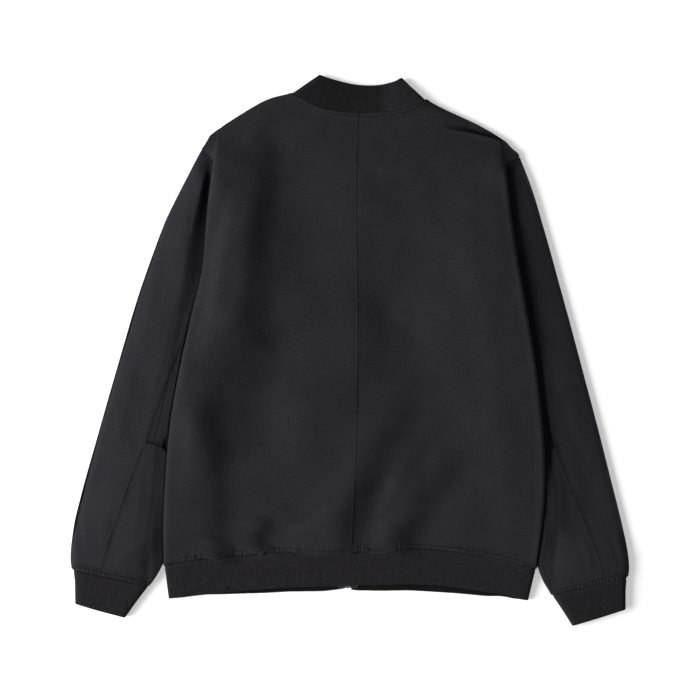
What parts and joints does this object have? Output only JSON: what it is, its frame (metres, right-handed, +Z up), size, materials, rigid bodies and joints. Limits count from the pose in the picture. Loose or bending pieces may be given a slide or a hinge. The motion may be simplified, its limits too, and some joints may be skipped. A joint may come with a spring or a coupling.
{
  "type": "bomber jacket",
  "caption": "Zip-front jacket lying face down with its back up and sleeves beside the body: shell cloth panels with rib knit collar, hem and cuffs, worn over the upper body.",
  "frame": {"origin": "centre of the object's box in plan, on the surface that the jacket lies on", "axes": "+Z up, away from the front of the jacket; +Y towards the collar; +X towards the wearer's right side"},
  "size_m": [0.7814, 0.7711, 0.021],
  "materials": {
    "shell_cloth": "matte black woven shell cloth",
    "rib_knit": "black rib knit",
    "zip_tape": "black woven tape",
    "zip_metal": "dark satin metal"
  },
  "bodies": {
    "jacket": {"back_left": "shell_cloth", "back_right": "shell_cloth", "front_left": "shell_cloth", "front_right": "shell_cloth", "sleeve_top_left": "shell_cloth", "sleeve_top_right": "shell_cloth", "sleeve_under_upper_left": "shell_cloth", "sleeve_under_upper_right": "shell_cloth", "sleeve_under_lower_left": "shell_cloth", "sleeve_under_lower_right": "shell_cloth", "collar": "rib_knit", "hem_rib": "rib_knit", "cuff_left": "rib_knit", "cuff_right": "rib_knit", "zip_tape_left": "zip_tape", "zip_tape_right": "zip_tape", "zip_chain": "zip_metal", "zip_box": "zip_metal", "zip_slider": "zip_metal"},
    "pull_tab": {"pull_tab": "zip_metal"}
  },
  "joints": [
    {"name": "pull_tab_hinge", "type": "hinge", "parent": "jacket", "child": "pull_tab", "pos_m": [0.00968, 0.2935, 0.0024], "axis": [1, 0, 0], "range_deg": [-3, 165]}
  ]
}
